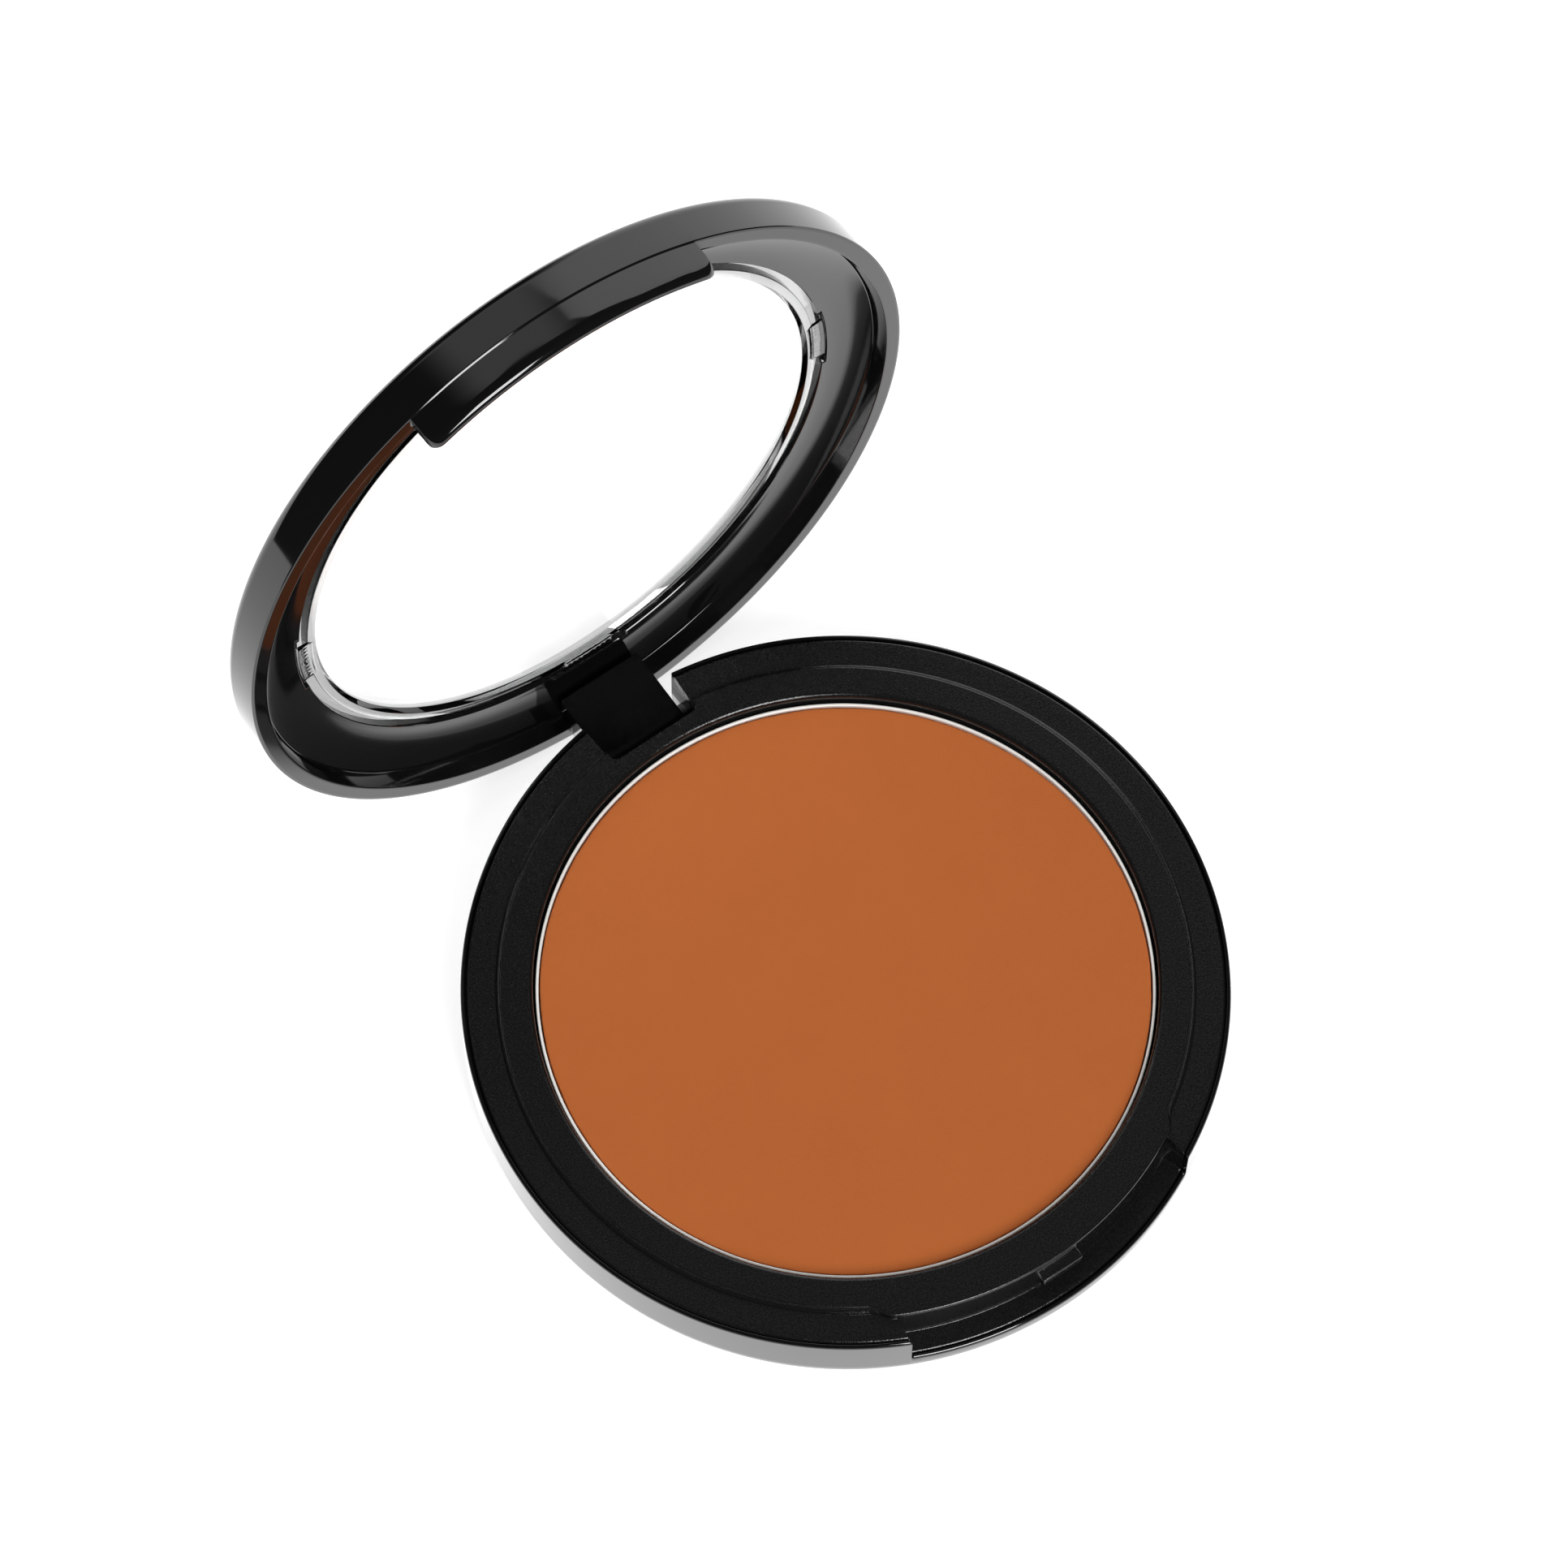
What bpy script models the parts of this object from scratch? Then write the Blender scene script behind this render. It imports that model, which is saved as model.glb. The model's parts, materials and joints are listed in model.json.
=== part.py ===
"""Round powder compact with a clear window in its lid, standing open.

Blender 4.5, metres, +Z up. The origin is the centre of the underside. The hinge is at +Y and the
thumb notch at -Y. Dimensions are in millimetres and become metres as each mesh is made.
The lid is modelled closed, and an empty on the hinge axis turns it open.
"""

import math

import bmesh
import bpy
from mathutils import Matrix, Vector

MM = 0.001
GAP = 0.3  # clearance between neighbouring pieces
SEGMENTS = 72  # facets round a large turned piece
SMOOTH_ANGLE = math.radians(35)

# Case
CASE_R = 38.0
CASE_WALL = 1.6
CASE_FLOOR = 1.4
FOOT_ROUND = 3.9  # rounding of the bottom edge
INNER_ROUND = 2.3
DECK_Z = 9.3
LIP = 0.4  # thin rim of the case round the deck
LABEL_R = 22.0
LABEL_THICK = 0.2
REBATE_Z = 3.5  # the wall inside the notch is thinned to the lip from here up

# Deck frame
FLANGE = 1.2
COLLAR_Z = 10.0
COLLAR_R = 34.1
COLLAR_FOOT_R = 34.55
COLLAR_EDGE = 0.25
COLLAR_OVERLAP = 1.0  # how far the notch shoulders reach back into the collar
WELL_R = 30.9
WELL_EDGE = 0.5
WELL_WALL = 1.4
WELL_FLOOR_Z = 3.0
WELL_FLOOR = 1.0

# Thumb notch
NOTCH_HALF = 16.25
NOTCH_FLARE = 0.35  # widening towards the outside
NOTCH_R = 35.2
NOTCH_FLOOR_Z = 5.0
NOTCH_BLOCK_HALF = 17.4
NOTCH_SHOULDER_HALF = 16.9
SHOULDER_SUNK = 0.6  # depth of the shoulders below the deck
LUG_HALF = 2.35
LUG_OUT_Y = -36.25
LUG_IN_Y = -34.5
LUG_LOW = 7.3
LUG_HIGH = 8.7

# Powder
PAN_R = WELL_R - GAP
PAN_WALL = 0.3
PAN_FLOOR_Z = 3.9
PAN_RIM_Z = 8.85
PAN_THICK = 0.35  # floor of the pan
PAN_ROUND = 0.8
CAKE_GAP = 0.25
CAKE_Z = 8.7
CAKE_EDGE = 0.2
GLUE_R = 4.0
GLUE_TOP_R = 3.7
GLUE_RING_R = 15.0
GLUE_GAP = 0.25
GLUE_START_DEG = -30.0

# Hinge
AXIS_Y = 35.29
AXIS_Z = 4.02
OPEN_DEG = 96.17
PIN_R = 0.75
BORE_R = 0.95
PIN_LEFT = -8.5
PIN_RIGHT = 10.5
KNUCKLE_HALF = 4.7
KNUCKLE_R = 2.31
KNUCKLE_DROP = 1.62  # its round end below the axis
KNUCKLE_ROUND = 1.6
KNUCKLE_RISE = 1.5  # height of the knuckle above the lid's rim plane
SLOT_HALF = 5.05
SLOT_FLARE = 0.35
SLOT_Y = 32.55
SLOT_FLOOR_Z = 1.3
SLOT_OUT = 38.0
SLOT_ROUND = 0.6  # inner corners, seen from above
SLOT_BEHIND = 0.2  # how far the slot cuts into the foot of the case
SLOT_WALL_INSET = 0.15  # of the frame's wall at the inner end of the slot
SLOT_WALL_OVERLAP = 0.1
SILL_Y = 36.5
SILL_Z = 2.0
EAR_OUT = 9.6  # outer side of each ear
EAR_OVERLAP = 0.2
EAR_LOW_Z = 2.6  # underside of each ear, clear of the rounding of the bottom edge
EAR_TOP_GAP = 0.1
EAR_ROOM_START = 32.0
EAR_ROOM_END = 34.5
EAR_ROOM_Z = 1.8

# Lid
RIM_Z = 9.7  # the rim plane, closed
LID_HEIGHT = 5.0
LID_ROUND = 1.5
RIM_INNER_R = 36.25
HOLLOW_R = 31.3
HOLLOW_Z = 2.95
HOLLOW_ARC = 10.0  # radius of the dished underside, from its flat inner edge outwards
HOLLOW_EDGE_R = 35.6  # outer end of the dish
HOLLOW_TURN = 0.4  # rounding between the dish and the inside of the rim
RING_R = 30.7
SEAT_R = 31.5
SEAT_Z = 3.9
TONGUE_HALF = 16.0
TONGUE_R = 37.85
TONGUE_THICK = 1.0
TONGUE_DROP = 3.9
TONGUE_CORNER = 1.2
TONGUE_ROOT = 0.5  # how far the tongue reaches up into the rim
TONGUE_BELOW = 0.0001
BEAD_HALF = 2.4
BEAD_OUT_Y = -37.2
BEAD_IN_Y = -36.5
BEAD_LOW = 3.5  # below the rim plane
BEAD_HIGH = 2.7

# Window
LENS_Z = 3.5
WALL_R = 29.8
WALL_INNER_R = 28.9
WALL_FOOT_R = 28.55
WALL_Z = 3.0
POCKET_DEG = 20.0
POCKET_DEEPER = 0.3  # past the ring's face, so the cut is clean
POCKET_INWARD = 1.0
POCKET_Z = 3.45
POCKET_R = 31.4
HOOK_DEG = 12.0
HOOK_R = 31.1
HOOK_LOW = 2.95
HOOK_HIGH = 3.2
HOOK_ROOT = 0.2
TAB_ANGLES = (0.0, 90.0, 180.0, 270.0)

FAR = 45.0  # past every surface of the object, for the ends of cutters
FRONT_CUT_Y = -30.0  # inner end of the cutters for the front, inside the notch's inner wall
BLOCK_CUT_Y = -20.0
SLOT_END_CUT_Y = 25.0
BELOW = -1.0


def clear_scene():
    for obj in list(bpy.data.objects):
        bpy.data.objects.remove(obj)


def new_collection(name):
    group = bpy.data.collections.new(name)
    bpy.context.scene.collection.children.link(group)
    return group


def linear(value):
    """One sRGB channel, 0 to 255, as linear light."""
    share = value / 255.0
    return share / 12.92 if share <= 0.04045 else ((share + 0.055) / 1.055) ** 2.4


def material(name, rgb, roughness, metallic=0.0, transmission=0.0):
    mat = bpy.data.materials.new(name)
    mat.use_nodes = True
    shader = mat.node_tree.nodes["Principled BSDF"]
    shader.inputs["Base Color"].default_value = (*[linear(c) for c in rgb], 1.0)
    shader.inputs["Roughness"].default_value = roughness
    shader.inputs["Metallic"].default_value = metallic
    shader.inputs["Transmission Weight"].default_value = transmission
    return mat


def arc(centre, radius, start, end, steps):
    """Points (radius, height) from angle start to end, in degrees, about a centre."""
    points = []
    for i in range(steps + 1):
        angle = math.radians(start + (end - start) * i / steps)
        points.append((centre[0] + radius * math.cos(angle), centre[1] + radius * math.sin(angle)))
    return points


def mesh_object(name, bm, group):
    mesh = bpy.data.meshes.new(name)
    bm.to_mesh(mesh)
    bm.free()
    obj = bpy.data.objects.new(name, mesh)
    group.objects.link(obj)
    return obj


def turned(name, outline, group, closed=False):
    """Turns an outline of (radius, height) points about Z. It runs down its outer side."""
    bm = bmesh.new()
    points = [bm.verts.new((r * MM, 0.0, z * MM)) for r, z in outline]
    for a, b in zip(points, points[1:]):
        bm.edges.new((a, b))
    if closed:
        bm.edges.new((points[-1], points[0]))
    obj = mesh_object(name, bm, group)
    screw = obj.modifiers.new("turn", "SCREW")
    screw.steps = SEGMENTS
    screw.render_steps = SEGMENTS
    screw.use_merge_vertices = True
    screw.merge_threshold = 0.00001
    return obj


def box(name, low, high, group, rounded=None, radius=0.0, flare=0.0):
    """A box between two corners. rounded picks edges for a radius, by their middle point, and
    flare widens the box in X at its far end from the centre in Y."""
    low = Vector(low)
    high = Vector(high)
    bm = bmesh.new()
    bmesh.ops.create_cube(bm, size=1.0)
    outer_y = max(low.y, high.y, key=abs)
    for v in bm.verts:
        share = v.co + Vector((0.5, 0.5, 0.5))
        v.co = Vector(low[k] + (high[k] - low[k]) * share[k] for k in range(3))
        if v.co.y == outer_y:
            v.co.x += math.copysign(flare, v.co.x)
    if rounded:
        edges = [e for e in bm.edges if rounded((e.verts[0].co + e.verts[1].co) / 2)]
        bmesh.ops.bevel(bm, geom=edges, offset=radius, segments=6, profile=0.5, affect="EDGES")
    bmesh.ops.scale(bm, vec=(MM, MM, MM), verts=bm.verts)
    return mesh_object(name, bm, group)


def cylinder_x(name, radius, left, right, y, z, group, segments=24):
    """A round bar along X."""
    bm = bmesh.new()
    bmesh.ops.create_cone(
        bm,
        cap_ends=True,
        segments=segments,
        radius1=radius * MM,
        radius2=radius * MM,
        depth=(right - left) * MM,
        matrix=Matrix.Rotation(math.pi / 2, 4, "Y"),
    )
    middle = Vector(((left + right) / 2, y, z)) * MM
    bmesh.ops.translate(bm, verts=bm.verts, vec=middle)
    return mesh_object(name, bm, group)


def sector(name, inner, outer, low, high, middle_deg, width_deg, group, steps=4):
    """A piece of a ring between two radii and two heights, centred on an angle."""
    bm = bmesh.new()
    corners = ((inner, low), (outer, low), (outer, high), (inner, high))
    face = bm.faces.new([bm.verts.new((r * MM, 0.0, z * MM)) for r, z in corners])
    start = Matrix.Rotation(math.radians(middle_deg - width_deg / 2), 3, "Z")
    bmesh.ops.rotate(bm, verts=bm.verts, matrix=start)
    bmesh.ops.spin(
        bm,
        geom=[face, *face.edges, *face.verts],
        axis=(0.0, 0.0, 1.0),
        angle=math.radians(width_deg),
        steps=steps,
    )
    bmesh.ops.recalc_face_normals(bm, faces=bm.faces)
    return mesh_object(name, bm, group)


def boolean(obj, operation, tool):
    """Adds a Boolean step. The tool is a construction shape, so it is drawn as wire."""
    step = obj.modifiers.new(tool.name, "BOOLEAN")
    step.solver = "EXACT"
    step.operation = operation
    step.object = tool
    tool.hide_render = True
    tool.display_type = "WIRE"


def carried(obj, hinge):
    """Puts a shape that is modelled closed on the empty that turns the lid."""
    obj.parent = hinge
    obj.location = -hinge.location
    return obj


def hinge_empty(group):
    empty = bpy.data.objects.new("hinge_axis", None)
    empty.empty_display_size = 10 * MM
    empty.location = Vector((0.0, AXIS_Y, AXIS_Z)) * MM
    empty.rotation_euler = (-math.radians(OPEN_DEG), 0.0, 0.0)
    group.objects.link(empty)
    return empty


def base_shell(parts, cutters):
    """The glossy outer case, with its two hinge ears."""
    inner_r = CASE_R - CASE_WALL
    lip_r = CASE_R - LIP
    foot_r = CASE_R - FOOT_ROUND
    ledge_z = DECK_Z - FLANGE - GAP
    recess_r = LABEL_R + GAP
    recess_z = LABEL_THICK + GAP
    inner_centre = (inner_r - INNER_ROUND, CASE_FLOOR + INNER_ROUND)
    outline = [(0.0, CASE_FLOOR)]
    outline += arc(inner_centre, INNER_ROUND, -90, 0, 3)
    outline += [(inner_r, ledge_z), (lip_r, ledge_z)]
    outline += arc((lip_r, DECK_Z - LIP), LIP, 90, 0, 3)
    outline += arc((foot_r, FOOT_ROUND), FOOT_ROUND, 0, -90, 6)
    outline += [(recess_r, 0.0), (recess_r, recess_z), (0.0, recess_z)]
    shell = turned("base_shell", outline, parts)
    for side in (-1, 1):
        near = (side * (SLOT_HALF - EAR_OVERLAP), AXIS_Y - KNUCKLE_R, EAR_LOW_Z)
        far = (side * EAR_OUT, inner_r, ledge_z - EAR_TOP_GAP)
        low = [min(a, b) for a, b in zip(near, far)]
        high = [max(a, b) for a, b in zip(near, far)]
        boolean(shell, "UNION", box(f"ear_{side}", low, high, cutters))
    ear_half = SLOT_HALF + SLOT_FLARE
    slot_start = foot_r - SLOT_BEHIND
    slot_cuts = (
        ("case_slot", slot_start, SLOT_FLOOR_Z, FAR, FAR),
        ("ear_room", EAR_ROOM_START, EAR_ROOM_Z, EAR_ROOM_END, FAR),
        ("case_slot_sill", SILL_Y, BELOW, FAR, SILL_Z),
    )
    for name, low_y, low_z, high_y, high_z in slot_cuts:
        cut = box(name, (-ear_half, low_y, low_z), (ear_half, high_y, high_z), cutters)
        boolean(shell, "DIFFERENCE", cut)
    bore = cylinder_x("ear_bore", BORE_R, PIN_LEFT - GAP, FAR, AXIS_Y, AXIS_Z, cutters)
    boolean(shell, "DIFFERENCE", bore)
    half = NOTCH_HALF + NOTCH_FLARE
    notch = box("case_notch", (-half, -FAR, NOTCH_FLOOR_Z), (half, FRONT_CUT_Y, FAR), cutters)
    boolean(shell, "DIFFERENCE", notch)
    outline = [(0.0, FAR), (lip_r, FAR), (lip_r, REBATE_Z), (0.0, REBATE_Z)]
    rebate = turned("rebate", outline, cutters)
    half = NOTCH_BLOCK_HALF + GAP
    front = box("rebate_front", (-half, -FAR, 0.0), (half, BLOCK_CUT_Y, FAR), cutters)
    boolean(rebate, "INTERSECT", front)
    boolean(shell, "DIFFERENCE", rebate)
    return shell


def frame_core(cutters):
    """The room under the deck, outside the well, less what carries the notch and the slot end."""
    inner = WELL_R + WELL_WALL
    top = DECK_Z - FLANGE
    ring = [(inner, top), (FAR, top), (FAR, 0.0), (inner, 0.0)]
    core = turned("frame_core", ring, cutters, closed=True)
    half = NOTCH_BLOCK_HALF
    low = (-half, -FAR, NOTCH_FLOOR_Z - FLANGE)
    block = box("notch_block", low, (half, BLOCK_CUT_Y, FAR), cutters)
    boolean(core, "DIFFERENCE", block)
    half = SLOT_HALF - SLOT_WALL_INSET
    low = (-half, SLOT_END_CUT_Y, BELOW)
    wall = box("slot_end_wall", low, (half, SLOT_Y + SLOT_WALL_OVERLAP, FAR), cutters)
    boolean(core, "DIFFERENCE", wall)
    return core


def deck_frame(parts, cutters):
    """The satin insert: deck, collar, well, thumb notch and catch lug."""
    frame_r = CASE_R - LIP - GAP
    edge_r = WELL_R + WELL_EDGE
    outline = [(0.0, WELL_FLOOR_Z), (WELL_R, WELL_FLOOR_Z)]
    outline += arc((edge_r, COLLAR_Z - WELL_EDGE), WELL_EDGE, 180, 90, 3)
    outline += arc((COLLAR_R - COLLAR_EDGE, COLLAR_Z - COLLAR_EDGE), COLLAR_EDGE, 90, 30, 2)
    outline += [(COLLAR_FOOT_R, DECK_Z), (frame_r, DECK_Z)]
    outline += [(frame_r, WELL_FLOOR_Z - WELL_FLOOR), (0.0, WELL_FLOOR_Z - WELL_FLOOR)]
    frame = turned("deck_frame", outline, parts)
    ring_in = COLLAR_R - COLLAR_OVERLAP
    low_z = DECK_Z - SHOULDER_SUNK
    ring = [(ring_in, COLLAR_Z), (NOTCH_R, COLLAR_Z), (NOTCH_R, low_z), (ring_in, low_z)]
    shoulder = turned("notch_shoulder", ring, cutters, closed=True)
    half = NOTCH_SHOULDER_HALF
    front = box("shoulder_front", (-half, -FAR, 0.0), (half, BLOCK_CUT_Y, FAR), cutters)
    boolean(shoulder, "INTERSECT", front)
    boolean(frame, "UNION", shoulder)
    boolean(frame, "DIFFERENCE", frame_core(cutters))
    slot = box(
        "frame_slot",
        (-SLOT_HALF, SLOT_Y, BELOW),
        (SLOT_HALF, SLOT_OUT, FAR),
        cutters,
        rounded=lambda mid: abs(mid.y - SLOT_Y) < GAP and mid.x != 0.0,
        radius=SLOT_ROUND,
        flare=SLOT_FLARE,
    )
    boolean(frame, "DIFFERENCE", slot)
    low = (-NOTCH_HALF, -CASE_R, NOTCH_FLOOR_Z)
    high = (NOTCH_HALF, FRONT_CUT_Y, FAR)
    notch = box("frame_notch", low, high, cutters, flare=NOTCH_FLARE)
    top = FAR + GAP
    wall = turned("notch_wall", [(0.0, top), (NOTCH_R, top), (NOTCH_R, 0.0), (0.0, 0.0)], cutters)
    boolean(notch, "DIFFERENCE", wall)
    low = (-LUG_HALF, LUG_OUT_Y, LUG_LOW)
    high = (LUG_HALF, LUG_IN_Y, LUG_HIGH)
    boolean(notch, "DIFFERENCE", box("catch_lug", low, high, cutters))
    boolean(frame, "DIFFERENCE", notch)
    return frame


def powder_pan(parts):
    """The thin metal pan that holds the powder."""
    inner_r = PAN_R - PAN_WALL
    floor_z = PAN_FLOOR_Z + PAN_THICK
    outline = [(0.0, floor_z), (inner_r, floor_z)]
    outline += [(inner_r, PAN_RIM_Z), (PAN_R, PAN_RIM_Z)]
    outline += arc((PAN_R - PAN_ROUND, PAN_FLOOR_Z + PAN_ROUND), PAN_ROUND, 0, -90, 3)
    outline += [(0.0, PAN_FLOOR_Z)]
    return turned("powder_pan", outline, parts)


def powder_cake(parts):
    """The pressed powder."""
    edge_r = PAN_R - PAN_WALL - CAKE_GAP
    bottom = PAN_FLOOR_Z + PAN_THICK + CAKE_GAP
    outline = [(0.0, CAKE_Z), (edge_r - CAKE_EDGE, CAKE_Z), (edge_r, CAKE_Z - CAKE_EDGE)]
    outline += [(edge_r, bottom), (0.0, bottom)]
    return turned("powder_cake", outline, parts)


def pan_glue(index, parts):
    """A flattened dot of glue between the well floor and the pan."""
    low = WELL_FLOOR_Z + GLUE_GAP
    high = PAN_FLOOR_Z - GLUE_GAP
    bm = bmesh.new()
    bmesh.ops.create_cone(
        bm,
        cap_ends=True,
        segments=20,
        radius1=GLUE_R * MM,
        radius2=GLUE_TOP_R * MM,
        depth=(high - low) * MM,
    )
    angle = math.radians(120.0 * index + GLUE_START_DEG)
    spot = Vector((GLUE_RING_R * math.cos(angle), GLUE_RING_R * math.sin(angle), (low + high) / 2))
    obj = mesh_object(f"pan_glue_{index}", bm, parts)
    obj.location = spot * MM
    return obj


def base_label(parts):
    """The blank round label, flush with the underside."""
    outline = [(0.0, LABEL_THICK), (LABEL_R, LABEL_THICK), (LABEL_R, 0.0), (0.0, 0.0)]
    return turned("base_label", outline, parts)


def hinge_pin(parts):
    return cylinder_x("hinge_pin", PIN_R, PIN_LEFT, PIN_RIGHT, AXIS_Y, AXIS_Z, parts)


def lid_outline():
    """The section of the lid ring, closed, down its outer side and up its hollow inside."""
    top = RIM_Z + LID_HEIGHT
    outline = [(SEAT_R, top)]
    outline += arc((CASE_R - LID_ROUND, top - LID_ROUND), LID_ROUND, 90, 0, 4)
    outline += [(CASE_R, RIM_Z)]
    outline += [(RIM_INNER_R, RIM_Z)]
    start = math.degrees(math.acos((HOLLOW_EDGE_R - HOLLOW_R) / HOLLOW_ARC))
    dish = arc((HOLLOW_R, RIM_Z + HOLLOW_Z - HOLLOW_ARC), HOLLOW_ARC, start, 90, 5)
    edge_r, edge_z = dish[0]
    outline += [(edge_r + HOLLOW_TURN, edge_z - HOLLOW_TURN)]
    outline += dish
    outline += [(RING_R, RIM_Z + HOLLOW_Z), (RING_R, RIM_Z + SEAT_Z), (SEAT_R, RIM_Z + SEAT_Z)]
    return outline


def tongue(cutters, hinge):
    """The tongue that drops into the thumb notch, with its lower edge rounded outside."""
    inner_r = TONGUE_R - TONGUE_THICK
    tip = RIM_Z - TONGUE_DROP
    root = RIM_Z + TONGUE_ROOT
    ring = [(inner_r, root), (TONGUE_R, root)]
    ring += arc((inner_r, tip + TONGUE_THICK), TONGUE_THICK, 0, -90, 4)
    skirt = carried(turned("tongue", ring, cutters, closed=True), hinge)
    front = box(
        "tongue_front",
        (-TONGUE_HALF, -FAR, tip - TONGUE_BELOW),
        (TONGUE_HALF, FRONT_CUT_Y, RIM_Z + LID_HEIGHT),
        cutters,
        rounded=lambda mid: mid.z < tip and mid.x != 0.0 and -FAR < mid.y < FRONT_CUT_Y,
        radius=TONGUE_CORNER,
    )
    boolean(skirt, "INTERSECT", carried(front, hinge))
    low = (-BEAD_HALF, BEAD_OUT_Y, RIM_Z - BEAD_LOW)
    high = (BEAD_HALF, BEAD_IN_Y, RIM_Z - BEAD_HIGH)
    bead = box("catch_bead", low, high, cutters)
    return [skirt, carried(bead, hinge)]


def knuckle(cutters, hinge):
    """The block that reaches from the lid down round the hinge pin, with a round end."""
    low = (-KNUCKLE_HALF, AXIS_Y - KNUCKLE_R, AXIS_Z - KNUCKLE_DROP)
    high = (KNUCKLE_HALF, AXIS_Y + KNUCKLE_R, RIM_Z + KNUCKLE_RISE)
    block = box(
        "knuckle",
        low,
        high,
        cutters,
        rounded=lambda mid: mid.z < AXIS_Z and mid.x == 0.0,
        radius=KNUCKLE_ROUND,
    )
    return carried(block, hinge)


def lid_shell(parts, cutters, hinge):
    """The glossy lid ring with its tongue, knuckle and the pockets for the window's hooks."""
    lid = carried(turned("lid_shell", lid_outline(), parts, closed=True), hinge)
    for piece in tongue(cutters, hinge):
        boolean(lid, "UNION", piece)
    boolean(lid, "UNION", knuckle(cutters, hinge))
    bore = cylinder_x("knuckle_bore", BORE_R, -EAR_OUT, EAR_OUT, AXIS_Y, AXIS_Z, cutters)
    boolean(lid, "DIFFERENCE", carried(bore, hinge))
    inner = RING_R - POCKET_INWARD
    low = RIM_Z + HOLLOW_Z - POCKET_DEEPER
    high = RIM_Z + POCKET_Z
    for angle in TAB_ANGLES:
        name = f"pocket_{angle:.0f}"
        pocket = sector(name, inner, POCKET_R, low, high, angle, POCKET_DEG, cutters)
        boolean(lid, "DIFFERENCE", carried(pocket, hinge))
    return lid


def window_lens(parts, cutters, hinge):
    """The clear disc with its low ring wall and four hooks."""
    top = RIM_Z + LID_HEIGHT
    flange_r = SEAT_R - GAP
    flange_z = RIM_Z + SEAT_Z + GAP
    outline = [(0.0, top), (flange_r, top), (flange_r, flange_z), (WALL_R, flange_z)]
    outline += [(WALL_R, RIM_Z + WALL_Z), (WALL_INNER_R, RIM_Z + WALL_Z)]
    outline += [(WALL_FOOT_R, RIM_Z + LENS_Z), (0.0, RIM_Z + LENS_Z)]
    lens = carried(turned("window_lens", outline, parts), hinge)
    inner = WALL_R - HOOK_ROOT
    low = RIM_Z + HOOK_LOW
    high = RIM_Z + HOOK_HIGH
    for angle in TAB_ANGLES:
        name = f"hook_{angle:.0f}"
        hook = sector(name, inner, HOOK_R, low, high, angle, HOOK_DEG, cutters)
        boolean(lens, "UNION", carried(hook, hinge))
    return lens


def set_finish(obj, mat):
    """Turns the modifier stack into a plain mesh, shades it smooth and gives it its material."""
    evaluated = obj.evaluated_get(bpy.context.evaluated_depsgraph_get())
    mesh = bpy.data.meshes.new_from_object(evaluated)
    mesh.name = obj.name
    obj.modifiers.clear()
    obj.data = mesh
    mesh.shade_smooth()
    mesh.set_sharp_from_angle(angle=SMOOTH_ANGLE)
    mesh.materials.clear()
    mesh.materials.append(mat)


def main():
    clear_scene()
    parts = new_collection("powder_compact")
    cutters = new_collection("cutters")
    hinge = hinge_empty(parts)
    gloss = dict(rgb=(12, 12, 13), roughness=0.08)
    clear = material("lens_clear", (245, 247, 248), 0.03, transmission=1.0)
    finishes = [
        (base_shell(parts, cutters), material("base_shell_gloss", **gloss)),
        (deck_frame(parts, cutters), material("deck_frame_satin", (26, 26, 27), 0.45)),
        (powder_pan(parts), material("pan_aluminium", (200, 198, 194), 0.3, metallic=1.0)),
        (powder_cake(parts), material("pressed_powder", (180, 99, 52), 0.95)),
        (base_label(parts), material("label_paper", (238, 236, 230), 0.7)),
        (hinge_pin(parts), material("pin_steel", (150, 150, 152), 0.3, metallic=1.0)),
        (lid_shell(parts, cutters, hinge), material("lid_shell_gloss", **gloss)),
        (window_lens(parts, cutters, hinge), clear),
    ]
    for index in (1, 2, 3):
        glue = pan_glue(index, parts)
        finishes.append((glue, material(f"glue_{index}", (225, 220, 205), 0.35)))
    bpy.context.view_layer.update()
    for obj, mat in finishes:
        set_finish(obj, mat)


main()
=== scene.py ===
"""Looks of the powder compact: fine surfaces, materials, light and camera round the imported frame.

Every piece is modelled in millimetres in the frame's own axes, with the lid closed, and becomes
metres as its mesh is made. The lid's pieces are then turned open about the hinge axis.
"""

import json
import math

import bmesh
import bpy
from mathutils import Matrix, Vector, noise


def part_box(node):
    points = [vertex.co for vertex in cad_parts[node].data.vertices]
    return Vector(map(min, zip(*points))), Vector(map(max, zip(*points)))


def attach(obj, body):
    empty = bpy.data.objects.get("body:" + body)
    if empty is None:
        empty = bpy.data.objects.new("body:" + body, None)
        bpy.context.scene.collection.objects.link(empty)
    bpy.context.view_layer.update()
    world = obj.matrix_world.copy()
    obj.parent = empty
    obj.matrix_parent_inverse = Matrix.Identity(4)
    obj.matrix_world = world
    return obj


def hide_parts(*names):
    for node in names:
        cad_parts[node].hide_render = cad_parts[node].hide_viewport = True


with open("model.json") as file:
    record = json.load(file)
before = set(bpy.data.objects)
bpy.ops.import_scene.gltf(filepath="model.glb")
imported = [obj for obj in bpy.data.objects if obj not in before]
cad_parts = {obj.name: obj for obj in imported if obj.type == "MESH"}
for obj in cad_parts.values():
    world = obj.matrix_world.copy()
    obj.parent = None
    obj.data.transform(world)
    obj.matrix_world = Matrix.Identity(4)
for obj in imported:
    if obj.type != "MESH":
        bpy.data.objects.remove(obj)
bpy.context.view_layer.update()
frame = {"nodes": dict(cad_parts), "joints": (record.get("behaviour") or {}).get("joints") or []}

MM = 0.001


def corners(node):
    """The low and high corner of a CAD node's box, in millimetres."""
    low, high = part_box(node)
    return low / MM, high / MM


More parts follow.
